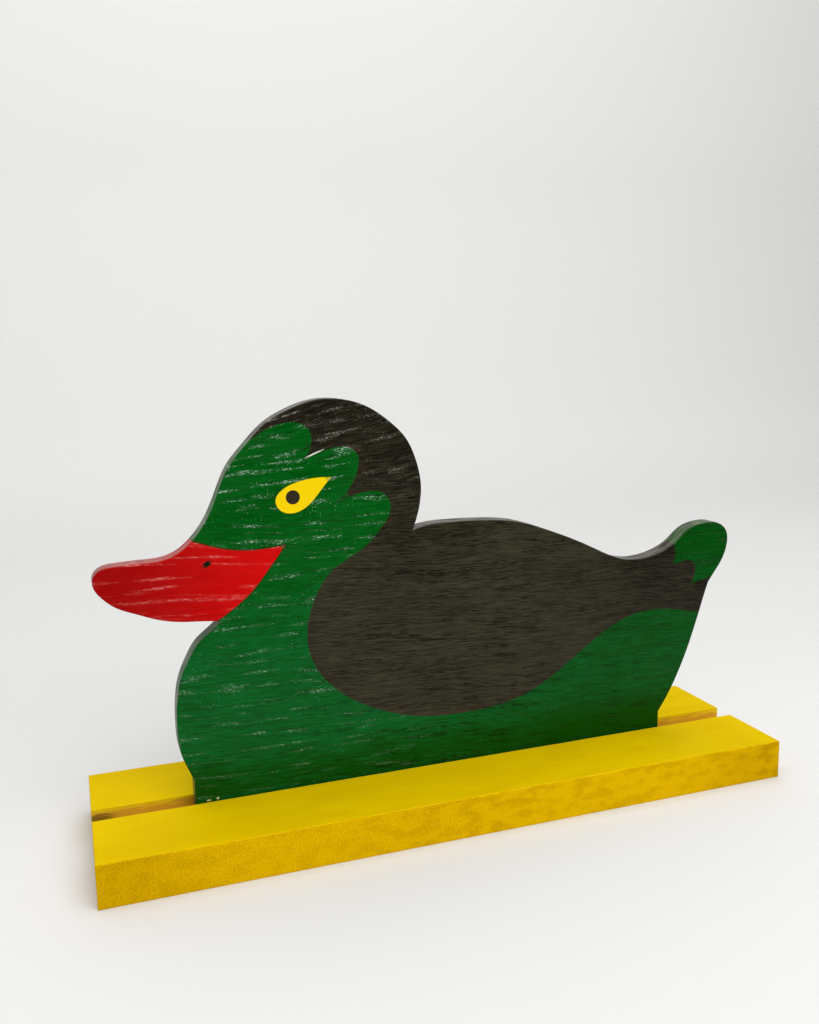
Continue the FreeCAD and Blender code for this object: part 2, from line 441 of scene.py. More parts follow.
def make_duck():
    """The duck board: an edge profile carried round the outline, and two filled faces.

    Each sample of the profile is a ring: the outline moved inwards by the sample's depth,
    which wavers a little on the way round. The faces fill the first and the last ring, and
    swell very slightly, as planed board does. The back is painted as the front is.
    """
    outline = duck_outline()
    outward = outward_directions(outline)
    travelled = np.concatenate([[0.0], np.cumsum(np.hypot(*np.diff(outline, axis=0).T))])

    ring_depth, ring_y, ring_worn = duck_profile()
    uneven = 1.0 + gentle_waves(travelled, seed=3, longest=70.0, height=0.3)
    inset = (ring_depth[:, None] * uneven)[:, :, None]
    flat = outline - outward * inset
    edge = np.insert(flat, 1, 0.0, axis=2)
    edge[:, :, 1] = ring_y[:, None]
    rings, count = flat.shape[:2]
    numbers = np.arange(rings * count).reshape(rings, count)

    borders = paint_borders()
    face_rim = flat[0]
    lines = [
        part for curves in borders.values() for curve in curves
        for part in parts_inside(curve, face_rim)
    ]
    face, triangles = fill_face(face_rim, staggered_grid(face_rim, FACE_STEP, lines), lines)
    inner = face[count:]
    swell = face_swell(inner, face_rim)
    fronts = np.column_stack([inner[:, 0], swell - BOARD_HALF, inner[:, 1]])
    backs = np.column_stack([inner[:, 0], BOARD_HALF - swell, inner[:, 1]])
    points = np.concatenate([edge.reshape(-1, 3), fronts, backs])
    inner_numbers = rings * count + np.arange(len(inner))
    front_numbers = np.concatenate([numbers[0], inner_numbers])
    back_numbers = np.concatenate([numbers[-1], inner_numbers + len(inner)])
    faces = (
        ring_quads(numbers).tolist() + front_numbers[triangles].tolist()
        + back_numbers[triangles[:, ::-1]].tolist()
    )
    one_side = points[: len(points) - len(inner), [0, 2]]
    marks = {
        area: np.concatenate([depth, depth[len(depth) - len(inner):]])
        for area, depth in paint_depths(one_side, borders).items()
    }
    no_mark = np.zeros(2 * len(inner))
    marks["arris"] = np.concatenate([np.repeat(ring_worn, count), no_mark])
    marks["around"] = np.concatenate([np.tile(travelled, rings), no_mark])
    return make_mesh("painted_duck_board", points, faces, marks)


def face_swell(points, rim):
    """How far the planed face sinks at each point, in millimetres: waves that are long along
    the grain and short across it, fading out towards the rim."""
    grain_slope, mean_sink, fade_width = 0.04, 0.04, 6.0
    along, up = points.T
    sink = gentle_waves(up + grain_slope * along, seed=5, longest=46.0, height=0.03)
    sink = sink + gentle_waves(along, seed=6, longest=160.0, height=0.03)
    return (sink + mean_sink) * np.clip(area_inside(points, rim) / fade_width, 0.0, 1.0)


def base_sections(inset, radius_scale):
    """The base's cross-section at every station along X, as (station, point, y or z).

    It goes round the slab and through the groove. Every side is moved inwards by the
    station's inset. Every outer corner is a quarter circle, whose radius is the corner's own
    times the station's scale, less the inset. Also gives which points are on an arris, and
    which are in the groove.
    """
    corners = (
        (-BASE_SIDE, 0.0, UNDER_ARRIS), (-BASE_SIDE, BASE_TOP_Z, BASE_ARRIS),
        (-GROOVE_HALF, BASE_TOP_Z, MOUTH_ARRIS), (-GROOVE_HALF, GROOVE_FLOOR, 0.0),
        (GROOVE_HALF, GROOVE_FLOOR, 0.0), (GROOVE_HALF, BASE_TOP_Z, MOUTH_ARRIS),
        (BASE_SIDE, BASE_TOP_Z, BASE_ARRIS), (BASE_SIDE, 0.0, UNDER_ARRIS),
    )
    places = np.array([corner[:2] for corner in corners])
    ahead = np.roll(places, -1, axis=0) - places
    ahead /= np.hypot(*ahead.T)[:, None]
    facing = np.column_stack([-ahead[:, 1], ahead[:, 0]])
    mitre = facing + np.roll(facing, 1, axis=0)
    sharp = places - mitre * inset[:, None, None]
    own_radius = np.array([corner[2] for corner in corners])
    radius = np.maximum(own_radius * radius_scale[:, None] - inset[:, None], THIN_ARRIS)
    radius = np.where(own_radius > 0.0, radius, 0.0)[:, :, None]

    turns = QUARTER_TURN[:, None]
    sections, worn, groove = [], [], []
    for index in range(len(corners)):
        after = (index + 1) % len(corners)
        if own_radius[index] > 0.0:
            circle = facing[index - 1] * np.cos(turns) + facing[index] * np.sin(turns)
            reach = (circle - mitre[index])[None]
        else:
            reach = np.zeros((1, 1, 2))
        arc = sharp[:, index, None] + radius[:, index, None] * reach
        start = sharp[:, index] + ahead[index] * radius[:, index]
        end = sharp[:, after] - ahead[index] * radius[:, after]
        length = np.hypot(*(places[after] - places[index]))
        steps = np.linspace(0.0, 1.0, int(length / SECTION_STEP) + 3)
        nearest = BESIDE_ARRIS / length
        share = np.clip(steps, nearest, 1.0 - nearest)[None, :, None]
        flat = start[:, None] + (end - start)[:, None] * share
        sections += [arc, flat]
        in_groove = abs(places[[index, after], 0]).max() <= GROOVE_HALF
        worn += [float(own_radius[index] > 0.0)] * arc.shape[1] + [0.0] * flat.shape[1]
        groove += [float(in_groove)] * (arc.shape[1] + flat.shape[1])
    return np.concatenate(sections, axis=1), np.array(worn), np.array(groove)


def make_base():
    """The base: its cross-section carried along X, with sanded edges.

    Near each end the section is drawn in by a quarter circle, and a flat cap closes it. The
    arris radius wanders along the length, and is larger in a few knocked places.
    """
    end_x = BASE_END - END_ARRIS * (1.0 - np.cos(QUARTER_TURN))
    end_inset = END_ARRIS * (1.0 - np.sin(QUARTER_TURN))
    run_x = np.linspace(1.0, -1.0, BASE_STATIONS) * (BASE_END - END_ARRIS - BESIDE_ARRIS)
    stations = np.concatenate([[BASE_END], end_x, run_x, -end_x[::-1], [-BASE_END]])
    lip_inset = [END_ARRIS + FACE_LIP]
    inset = np.concatenate(
        [lip_inset, end_inset, np.zeros(len(run_x)), end_inset[::-1], lip_inset]
    )
    station_worn = np.concatenate(
        [LIP_AND_ARRIS_WORN, np.zeros(len(run_x)), LIP_AND_ARRIS_WORN[::-1]]
    )

    wander = gentle_waves(stations, seed=11, longest=130.0, height=0.25)
    radius_scale = 1.0 + wander + knocks(stations)
    flat, section_worn, section_groove = base_sections(inset, radius_scale)
    rows, count = flat.shape[:2]
    along = np.broadcast_to(stations[:, None], (rows, count))
    points = np.stack([along, flat[:, :, 0], flat[:, :, 1]], axis=2).reshape(-1, 3)
    numbers = np.arange(rows * count).reshape(rows, count)
    faces = ring_quads(numbers).tolist()
    worn = np.maximum(station_worn[:, None], section_worn).ravel()
    groove = np.broadcast_to(section_groove, (rows, count)).ravel()

    for row, facing in ((0, 1), (-1, -1)):
        rim = flat[row]
        cap, triangles = fill_face(rim, staggered_grid(rim, CAP_STEP))
        inner = cap[count:]
        layer = np.column_stack([np.full(len(inner), stations[row]), inner])
        order = np.concatenate([numbers[row], len(points) + np.arange(len(inner))])
        faces += order[triangles[:, ::facing]].tolist()
        points = np.concatenate([points, layer])
        worn = np.concatenate([worn, np.zeros(len(inner))])
        groove = np.concatenate([groove, np.zeros(len(inner))])
    nearly_out = np.array([BASE_END, BASE_SIDE]) - 0.5 * BASE_ARRIS
    sawn = (np.abs(points[:, :2]) > nearly_out).any(axis=1)
    marks = {"arris": worn, "groove": groove, "sawn": sawn}
    return make_mesh("painted_grooved_base", points, faces, marks)


def knocks(places):
    """Where the base's edges have been knocked: the share by which the arris radius grows, a
    sum of bell curves, each with its centre, its width and its height."""
    spots = ((-118.0, 5.0, 0.5), (-31.0, 3.0, 0.7), (58.0, 7.0, 0.45), (131.0, 4.0, 0.8))
    return sum(
        growth * np.exp(-(((places - centre) / width) ** 2)) for centre, width, growth in spots
    )


# ---------------------------------------------------------------- shader steps

# The Mix node's colour sockets, by number, since its number sockets have the same names.
MIX_SHARE, MIX_FIRST, MIX_SECOND = 0, 6, 7
MIXED_COLOUR = 2


def shade(red, green, blue):
    """A colour from its 0 to 255 display values, as the linear values that shaders take."""
    share = np.array([red, green, blue]) / 255.0
    linear = np.where(share <= 0.04045, share / 12.92, ((share + 0.055) / 1.055) ** 2.4)
    return (*linear.tolist(), 1.0)


def feed(tree, socket, value):
    """Gives an input its value: a number, a colour or another node's output."""
    if isinstance(value, bpy.types.NodeSocket):
        tree.links.new(value, socket)
    else:
        socket.default_value = value


def add_node(tree, kind, inputs=None, **settings):
    """A new node, with its settings, and then its inputs by name or by number."""
    made = tree.nodes.new(kind)
    for name, value in settings.items():
        setattr(made, name, value)
    for socket, value in (inputs or {}).items():
        feed(tree, made.inputs[socket], value)
    return made


def calculate(tree, operation, *values):
    """One step of arithmetic on numbers or outputs, as in calculate(tree, "ADD", a, b)."""
    inputs = dict(enumerate(values))
    return add_node(tree, "ShaderNodeMath", inputs, operation=operation).outputs[0]


def times(tree, *factors):
    """The product of numbers or outputs."""
    product = factors[0]
    for factor in factors[1:]:
        product = calculate(tree, "MULTIPLY", product, factor)
    return product


def soft_step(tree, value, low, high, start=0.0, end=1.0):
    """The value taken from low..high to start..end, with soft ends and held beyond them."""
    inputs = {"Value": value, "From Min": low, "From Max": high, "To Min": start, "To Max": end}
    made = add_node(tree, "ShaderNodeMapRange", inputs, interpolation_type="SMOOTHSTEP")
    return made.outputs[0]


def mix_colour(tree, share, first, second):
    """The first colour with a share of the second laid over it."""
    inputs = {MIX_SHARE: share, MIX_FIRST: first, MIX_SECOND: second}
    return add_node(tree, "ShaderNodeMix", inputs, data_type="RGBA").outputs[MIXED_COLOUR]


def noise_value(tree, place, sizes, detail=2.0):
    """Smooth noise, 0 to 1, whose blobs have the given sizes in millimetres."""
    scaled = change_place(tree, "DIVIDE", place, sizes)
    inputs = {"Vector": scaled, "Scale": 1.0, "Detail": detail, "Roughness": 0.5}
    return add_node(tree, "ShaderNodeTexNoise", inputs).outputs[0]


def dashes(tree, place, sizes, share):
    """Short dashes, 0 to 1, one in each jittered cell of the given sizes in millimetres.

    A cell's dash is an ellipse about its seed. Its radius is the cell's own random number
    less the part of the cells that stay empty, so a larger share gives more and longer ones.
    """
    scaled = change_place(tree, "DIVIDE", place, sizes)
    inputs = {"Vector": scaled, "Scale": 1.0, "Randomness": 1.0}
    cells = add_node(tree, "ShaderNodeTexVoronoi", inputs, voronoi_dimensions="2D")
    chance = add_node(tree, "ShaderNodeSeparateColor", {0: cells.outputs["Color"]}).outputs[0]
    empty = calculate(tree, "SUBTRACT", 1.0, share)
    radius = times(tree, calculate(tree, "SUBTRACT", chance, empty), 0.75)
    radius = calculate(tree, "MINIMUM", radius, 0.40)
    inward = calculate(tree, "SUBTRACT", radius, cells.outputs["Distance"])
    return soft_step(tree, inward, 0.0, 0.16)


def new_group(name, inputs, outputs):
    """An empty shader node group: its tree, its inputs' node and its outputs' node."""
    tree = bpy.data.node_groups.new(name, "ShaderNodeTree")
    for label, (kind, value) in inputs.items():
        socket = tree.interface.new_socket(label, in_out="INPUT", socket_type=kind)
        if value is not None:
            socket.default_value = value
    for label, kind in outputs.items():
        tree.interface.new_socket(label, in_out="OUTPUT", socket_type=kind)
    return tree, tree.nodes.new("NodeGroupInput"), tree.nodes.new("NodeGroupOutput")


def use_group(tree, group, inputs=None):
    """A group placed in a material: gives its outputs by name."""
    return add_node(tree, "ShaderNodeGroup", inputs, node_tree=group).outputs


def parts_of(tree, place):
    """The X, Y and Z of a place."""
    return add_node(tree, "ShaderNodeSeparateXYZ", {0: place}).outputs


def place_from(tree, x, y, z=0.0):
    """A place from its X, Y and Z."""
    return add_node(tree, "ShaderNodeCombineXYZ", {0: x, 1: y, 2: z}).outputs[0]


def change_place(tree, operation, place, amounts):
    """A place with three amounts applied to its X, Y and Z."""
    inputs = {0: place, 1: amounts}
    return add_node(tree, "ShaderNodeVectorMath", inputs, operation=operation).outputs[0]


def mark_value(tree, name):
    """A mark of the mesh's points, as a number."""
    return add_node(tree, "ShaderNodeAttribute", attribute_name=name).outputs["Fac"]


# ---------------------------------------------------------------- shared effects

NUMBER = "NodeSocketFloat"
ARROW = "NodeSocketVector"


def make_board_place():
    """Group: the place on the piece in millimetres, straight and in the board's grain.

    In the grain place, X runs along the pores. They slope down slightly towards the tail in
    the body, and turn up towards the tail in the head, as the board's figure does.
    """
    outputs = {"Straight": ARROW, "Grain": ARROW}
    tree, _, ends = new_group("board_place", {}, outputs)
    coordinates = add_node(tree, "ShaderNodeTexCoord").outputs["Object"]
    straight = change_place(tree, "MULTIPLY", coordinates, (1.0 / MM,) * 3)
    x, y, z = parts_of(tree, straight)
    head = soft_step(tree, z, 135.0, 182.0)
    body_slope = times(tree, x, 0.035)
    head_slope = times(tree, calculate(tree, "ADD", x, 62.0), -0.25)
    head_lean = calculate(tree, "SUBTRACT", head_slope, body_slope)
    lean = calculate(tree, "MULTIPLY_ADD", head_lean, head, body_slope)
    wander = noise_value(tree, straight, (55.0, 200.0, 30.0), 1.0)
    wander = times(tree, calculate(tree, "SUBTRACT", wander, 0.5), 7.0)
    across = calculate(tree, "ADD", calculate(tree, "ADD", z, lean), wander)
    feed(tree, ends.inputs["Straight"], straight)
    feed(tree, ends.inputs["Grain"], place_from(tree, x, across, y))
    return tree


def make_board_pores():
    """Group: the pores of open-grained board. They gather in rows, one in each growth ring.

    A ring is a step of the place across the grain, as wide as Ring says and made uneven by a
    stretched noise. Long gives the long pores, broad rows of them, and Short the short ones,
    strung along the middle of each ring and thinly sown between. The shares say how many of
    each there are. Rows is the haze round the strung ones, Streaks the fine figure between
    the pores, and Height the hollows of all of them.
    """
    inputs = {
        "Place": (ARROW, None), "Ring": (NUMBER, 5.0), "Long Share": (NUMBER, 0.5),
        "Short Share": (NUMBER, 0.5), "Sown Share": (NUMBER, 0.5),
    }
    outputs = {
        "Long": NUMBER, "Short": NUMBER, "Rows": NUMBER, "Streaks": NUMBER, "Height": NUMBER,
    }
    tree, given, ends = new_group("board_pores", inputs, outputs)
    place = given.outputs["Place"]
    across = parts_of(tree, place)[1]
    drift = noise_value(tree, place, (80.0, 10.0, 40.0))
    ring = calculate(tree, "DIVIDE", across, given.outputs["Ring"])
    ring = calculate(tree, "FRACT", calculate(tree, "MULTIPLY_ADD", drift, 3.0, ring))
    off_middle = calculate(tree, "ABSOLUTE", calculate(tree, "SUBTRACT", ring, 0.5))

    broad_row = soft_step(tree, off_middle, 0.40, 0.10)
    broad_patch = soft_step(tree, noise_value(tree, place, (38.0, 5.0, 30.0), 1.0), 0.34, 0.60)
    broad = times(tree, broad_row, broad_patch)
    long_share = calculate(tree, "MULTIPLY_ADD", broad, 0.9, 0.1)
    long_share = times(tree, long_share, given.outputs["Long Share"])
    longest = dashes(tree, place, (15.0, 0.75, 8.0), long_share)
    shorter = dashes(tree, place, (5.0, 0.6, 8.0), long_share)
    long_pores = calculate(tree, "MAXIMUM", longest, shorter)

    line = soft_step(tree, off_middle, 0.26, 0.02)
    line_patch = soft_step(tree, noise_value(tree, place, (13.0, 2.4, 30.0)), 0.46, 0.66)
    rows = times(tree, line, line_patch)
    flecks = noise_value(tree, place, (0.9, 0.28, 8.0), 1.0)
    limit = calculate(tree, "MULTIPLY_ADD", given.outputs["Short Share"], -0.25, 0.70)
    over_limit = calculate(tree, "SUBTRACT", flecks, limit)
    strung = times(tree, rows, soft_step(tree, over_limit, 0.0, 0.11))
    clusters = noise_value(tree, place, (26.0, 9.0, 30.0))
    clusters = soft_step(tree, clusters, 0.40, 0.62, 0.15, 0.6)
    sown_share = times(tree, given.outputs["Sown Share"], clusters)
    sown = dashes(tree, place, (1.1, 0.65, 8.0), sown_share)
    short_pores = calculate(tree, "MAXIMUM", strung, sown)

    broad_streaks = times(tree, noise_value(tree, place, (20.0, 0.55, 20.0)), 0.4)
    fine_streaks = noise_value(tree, place, (6.0, 0.32, 20.0), 1.0)
    streaks = calculate(tree, "MULTIPLY_ADD", fine_streaks, 0.6, broad_streaks)
    depth = calculate(tree, "MAXIMUM", long_pores, short_pores)
    feed(tree, ends.inputs["Long"], long_pores)
    feed(tree, ends.inputs["Short"], short_pores)
    feed(tree, ends.inputs["Rows"], rows)
    feed(tree, ends.inputs["Streaks"], streaks)
    feed(tree, ends.inputs["Height"], calculate(tree, "SUBTRACT", streaks, depth))
    return tree


def make_paint_edge():
    """Group: 1 inside a painted area and 0 outside, from the depth inside it. The border
    wavers a little, and bleeds a little along the grain."""
    inputs = {"Depth": (NUMBER, 0.0), "Place": (ARROW, None), "Waver": (NUMBER, 0.12)}
    tree, given, ends = new_group("paint_edge", inputs, {"Inside": NUMBER})
    wave = noise_value(tree, given.outputs["Place"], (2.5, 0.8, 4.0))
    wave = calculate(tree, "SUBTRACT", wave, 0.5)
    height = times(tree, given.outputs["Waver"], 2.0)
    depth = calculate(tree, "MULTIPLY_ADD", wave, height, given.outputs["Depth"])
    feed(tree, ends.inputs["Inside"], soft_step(tree, depth, -0.12, 0.12))
    return tree


def make_worn_arris():
    """Group: where the paint is thin on a sanded edge, from the mesh's arris mark."""
    inputs = {"Arris": (NUMBER, 0.0), "Place": (ARROW, None), "Amount": (NUMBER, 0.5)}
    tree, given, ends = new_group("worn_arris", inputs, {"Worn": NUMBER})
    broad = times(tree, noise_value(tree, given.outputs["Place"], (18.0, 9.0, 9.0)), 0.55)
    fine = noise_value(tree, given.outputs["Place"], (1.6, 1.2, 1.2))
    patch = calculate(tree, "MULTIPLY_ADD", fine, 0.45, broad)
    limit = calculate(tree, "SUBTRACT", 0.85, times(tree, given.outputs["Amount"], 0.5))
    thin = soft_step(tree, calculate(tree, "SUBTRACT", patch, limit), -0.05, 0.12)
    feed(tree, ends.inputs["Worn"], times(tree, thin, given.outputs["Arris"]))
    return tree


def make_brush_marks():
    """Group: fine parallel brush lines along X, and a broad unevenness of the coat."""
    inputs = {"Place": (ARROW, None), "Length": (NUMBER, 60.0)}
    tree, given, ends = new_group("brush_marks", inputs, {"Lines": NUMBER, "Coat": NUMBER})
    place = given.outputs["Place"]
    x, y, z = parts_of(tree, place)
    drawn_out = place_from(tree, calculate(tree, "DIVIDE", x, given.outputs["Length"]), y, z)
    feed(tree, ends.inputs["Lines"], noise_value(tree, drawn_out, (1.0, 0.7, 0.7), 3.0))
    feed(tree, ends.inputs["Coat"], noise_value(tree, place, (30.0, 11.0, 11.0), 3.0))
    return tree


board_place = make_board_place()
board_pores = make_board_pores()
paint_edge = make_paint_edge()
worn_arris = make_worn_arris()
brush_marks = make_brush_marks()


# ---------------------------------------------------------------- materials

GREEN = shade(0, 97, 23)
GREEN_FLOOR_SHEEN = shade(0, 102, 38)
GREEN_DEEP = shade(0, 68, 2)
GREEN_PORE_SHADE = shade(0, 34, 2)
BLACK = shade(67, 64, 48)
BLACK_DEEP = shade(25, 23, 14)
BLACK_PORE_SHADE = shade(8, 6, 3)
BLACK_RUSTY = shade(66, 34, 26)
RED = shade(216, 0, 0)
RED_DEEP = shade(162, 0, 0)
RED_PORE_SHADE = shade(120, 0, 0)
YELLOW = shade(255, 217, 0)
PUPIL = shade(53, 46, 34)
NOSTRIL = shade(20, 30, 18)
OVERLAP = shade(46, 20, 6)
PRIMER = shade(226, 226, 212)
BARE_CHIP = shade(206, 198, 138)
PALE_PORE_AND_GLINT = shade(194, 228, 206)
PINK_PORE_AND_GLINT = shade(240, 138, 130)
GREY_DUST_WEAR_AND_GLINT = shade(168, 158, 148)
EDGE_DEEP = shade(26, 34, 24)
BASE_TOP = shade(228, 195, 0)
BASE_SAWN = shade(240, 194, 0)
BASE_SOAKED = shade(170, 122, 0)
BASE_WORN = shade(236, 200, 30)
GROOVE_THIN = shade(240, 206, 30)
GROOVE_BROWN = shade(216, 166, 44)
GROOVE_DARK = shade(88, 68, 26)

# How far a painted border wavers to either side, in millimetres.
BORDER_WAVER = 0.12
FINE_WAVER = 0.05


def new_material(name, roughness, specular):
    """A material with a Principled shader: its tree and the shader."""
    material = bpy.data.materials.new(name)
    material.use_nodes = True
    tree = material.node_tree
    tree.nodes.clear()
    shader = tree.nodes.new("ShaderNodeBsdfPrincipled")
    shader.inputs["Roughness"].default_value = roughness
    shader.inputs["Specular IOR Level"].default_value = specular
    output = tree.nodes.new("ShaderNodeOutputMaterial")
    tree.links.new(shader.outputs["BSDF"], output.inputs["Surface"])
    return material, tree, shader


def bumps(tree, height, strength, distance):
    """The normal over a height, with the distance in millimetres that a height of 1 gives."""
    inputs = {"Strength": strength, "Distance": distance * MM, "Height": height}
    return add_node(tree, "ShaderNodeBump", inputs).outputs[0]


def spot(tree, straight, centre, size, slope=0.0):
    """A soft-edged ellipse on the board's face, 1 inside, with its centre and its half
    sizes in millimetres as (x, z). The slope slides it up by that share of x."""
    offset = change_place(tree, "SUBTRACT", straight, (centre[0], 0.0, centre[1]))
    x, _, z = parts_of(tree, offset)
    z = calculate(tree, "MULTIPLY_ADD", x, -slope, z)
    across = calculate(tree, "POWER", calculate(tree, "DIVIDE", x, size[0]), 2.0)
    up = calculate(tree, "POWER", calculate(tree, "DIVIDE", z, size[1]), 2.0)
    return soft_step(tree, calculate(tree, "ADD", across, up), 1.4, 0.6)


def read_board(tree):
    """What all the coats on the board follow, by name.

    There are the place, the pores and the mottle of a coat, and how far the short pores show pale
    and the long ones dark. The pale short pores are partly pores left unpainted and partly
    painted glints on their rims, and show mostly in the head and the breast. The dark long pores
    are painted shade in their hollows, and show mostly in the back and the belly. The figure is
    calmer towards the tail.
    """
    places = use_group(tree, board_place)
    straight, grain = places["Straight"], places["Grain"]
    x, y, z = parts_of(tree, straight)
    short_share = soft_step(tree, z, 125.0, 155.0, 0.48, 0.6)
    pores = use_group(tree, board_pores, {
        "Place": grain, "Ring": 5.2, "Long Share": 1.0, "Short Share": short_share,
    })
    coat = use_group(tree, brush_marks, {"Place": grain, "Length": 22.0})["Coat"]

    streaks = soft_step(tree, pores["Streaks"], 0.36, 0.64)
    uneven = times(tree, soft_step(tree, coat, 0.3, 0.7), 0.25)
    mottle = calculate(tree, "MULTIPLY_ADD", streaks, 0.75, uneven)
    calmer = soft_step(tree, x, 20.0, 80.0, 1.0, 0.75)
    mottle = calculate(tree, "SUBTRACT", mottle, 0.5)
    mottle = calculate(tree, "MULTIPLY_ADD", mottle, calmer, 0.5)
    towards_head = soft_step(tree, x, 20.0, -60.0, 0.10, 1.0)
    in_breast = soft_step(tree, z, 25.0, 55.0, 0.42, 0.75)
    in_head = soft_step(tree, z, 95.0, 150.0, 0.0, 0.45)
    upwards = calculate(tree, "ADD", in_breast, in_head)
    towards_tail = soft_step(tree, x, -90.0, -20.0, 0.35, 1.0)
    return SimpleNamespace(
        straight=straight, grain=grain, x=x, y=y, z=z, pores=pores, coat=coat, mottle=mottle,
        towards_head=towards_head,
        # Pale short pores: partly unpainted, partly painted glints on their rims.
        missed_and_glints=times(tree, pores["Short"], towards_head, upwards),
        # Painted shade in the hollows of the long pores.
        filled=times(tree, pores["Long"], towards_tail, calmer),
    )


def painted(tree, board, area, waver):
    """1 inside one of the mesh's painted areas and 0 outside it."""
    inputs = {"Depth": mark_value(tree, area), "Place": board.grain, "Waver": waver}
    return use_group(tree, paint_edge, inputs)["Inside"]


def green_coat(tree, board):
    """Green paint: deeper towards the tail, with painted shade low down by the rail and a painted
    sheen of the pale floor, lighter and bluer, lower on the face.
    """
    thicker = soft_step(tree, board.x, -60.0, 130.0, 0.0, 0.45)
    # Painted shade and reflection: the green deepens low down by the yellow rail, which the face
    # mirrors in place of the pale floor.
    painted_rail_shade = soft_step(tree, board.z, 42.0, 22.0, 0.0, 0.45)
    light_share = calculate(tree, "SUBTRACT", calculate(tree, "ADD", board.mottle, 0.15), thicker)
    light_share = calculate(tree, "SUBTRACT", light_share, painted_rail_shade)
    # Painted sheen: the face is lighter and bluer low down, where it mirrors the pale floor.
    floor_sheen_share = soft_step(tree, board.z, 120.0, 80.0)
    light_green = mix_colour(tree, floor_sheen_share, GREEN, GREEN_FLOOR_SHEEN)
    green = mix_colour(tree, light_share, GREEN_DEEP, light_green)
    # Pale haze along the pore rows and pale specks in the short pores: partly unpainted pores,
    # partly painted glints on their rims.
    haze = times(tree, board.pores["Rows"], board.towards_head, 0.03)
    green = mix_colour(tree, haze, green, PALE_PORE_AND_GLINT)
    # Painted shade in the hollows of the long pores.
    green = mix_colour(tree, times(tree, board.filled, 0.75), green, GREEN_PORE_SHADE)
    return mix_colour(tree, times(tree, board.missed_and_glints, 0.85), green, PALE_PORE_AND_GLINT)


def black_coat(tree, board):
    """Black paint: deeper towards the tail, with painted shade on the head, and rusty in patches
    near its border.
    """
    # Painted shade: the black is deeper up on the head, which mirrors the dark room, while lower
    # down it mirrors the pale floor.
    painted_head_shade = soft_step(tree, board.z, 118.0, 150.0, 0.0, 0.35)
    dark_tail = soft_step(tree, board.x, 70.0, 115.0, 0.0, 0.3)
    head_shade_and_tail_tone = calculate(tree, "MAXIMUM", painted_head_shade, dark_tail)
    light_share = calculate(tree, "SUBTRACT", board.mottle, head_shade_and_tail_tone)
    black = mix_colour(tree, light_share, BLACK_DEEP, BLACK)
    near_border = soft_step(tree, mark_value(tree, "black_area"), 5.0, 0.0)
    patches = soft_step(tree, noise_value(tree, board.grain, (9.0, 1.6, 8.0)), 0.48, 0.66)
    black = mix_colour(tree, times(tree, near_border, patches, 0.3), black, BLACK_RUSTY)
    # Painted shade in the hollows of the long pores.
    black = mix_colour(tree, times(tree, board.filled, 0.8), black, BLACK_PORE_SHADE)
    # Pale grey specks and haze up on the crown: partly unpainted pores, partly painted glints on
    # their rims.
    high = soft_step(tree, board.z, 132.0, 165.0, 0.16, 1.0)
    black = mix_colour(tree, times(tree, board.pores["Rows"], high, 0.05), black, GREY_DUST_WEAR_AND_GLINT)
    return mix_colour(tree, times(tree, board.missed_and_glints, high), black, GREY_DUST_WEAR_AND_GLINT)


def red_coat(tree, board):
    """Red paint: deeper towards the bill's tip. Its pores are drawn out; the short ones show
    pink, partly as painted glints, and the long ones painted shade.
    """
    drawn_out = change_place(tree, "MULTIPLY", board.grain, (0.45, 1.0, 1.0))
    pores = use_group(tree, board_pores, {
        "Place": drawn_out, "Ring": 4.6, "Long Share": 0.8, "Short Share": 0.75,
        "Sown Share": 0.1,
    })
    red = mix_colour(tree, soft_step(tree, board.x, -80.0, -145.0), RED, RED_DEEP)
    deeper = calculate(tree, "SUBTRACT", 0.3, times(tree, board.mottle, 0.3))
    red = mix_colour(tree, deeper, red, RED_DEEP)
    # Painted shade in the hollows of the long pores.
    red = mix_colour(tree, times(tree, pores["Long"], 0.3), red, RED_PORE_SHADE)
    # Pink haze along the pore rows and pink specks in the short pores: partly unpainted pores,
    # partly painted glints on their rims.
    red = mix_colour(tree, times(tree, pores["Rows"], 0.08), red, PINK_PORE_AND_GLINT)
    return mix_colour(tree, times(tree, pores["Short"], 0.75), red, PINK_PORE_AND_GLINT)


def with_bare_spots(tree, board, colour):
    """The colour with the front's unpainted spots laid over it: a sliver of primer between the
    black and the green above the eye, and two chips by the rail."""
    in_front = soft_step(tree, board.y, 0.5, -0.5)
    depth = mark_value(tree, "black_area")
    sliver = times(
        tree, in_front, soft_step(tree, depth, -0.15, 0.1), soft_step(tree, depth, 0.8, 0.5),
        spot(tree, board.straight, (-58.2, 163.15), (4.4, 0.36), 0.40),
        soft_step(tree, noise_value(tree, board.grain, (1.8, 0.8, 8.0)), 0.30, 0.42),
    )
    colour = mix_colour(tree, sliver, colour, PRIMER)
    for centre, size in (((-108.6, 18.5), (1.0, 0.35)), ((-104.8, 18.8), (0.6, 0.5))):
        chip = times(tree, in_front, spot(tree, board.straight, centre, size))
        colour = mix_colour(tree, chip, colour, BARE_CHIP)
    return colour


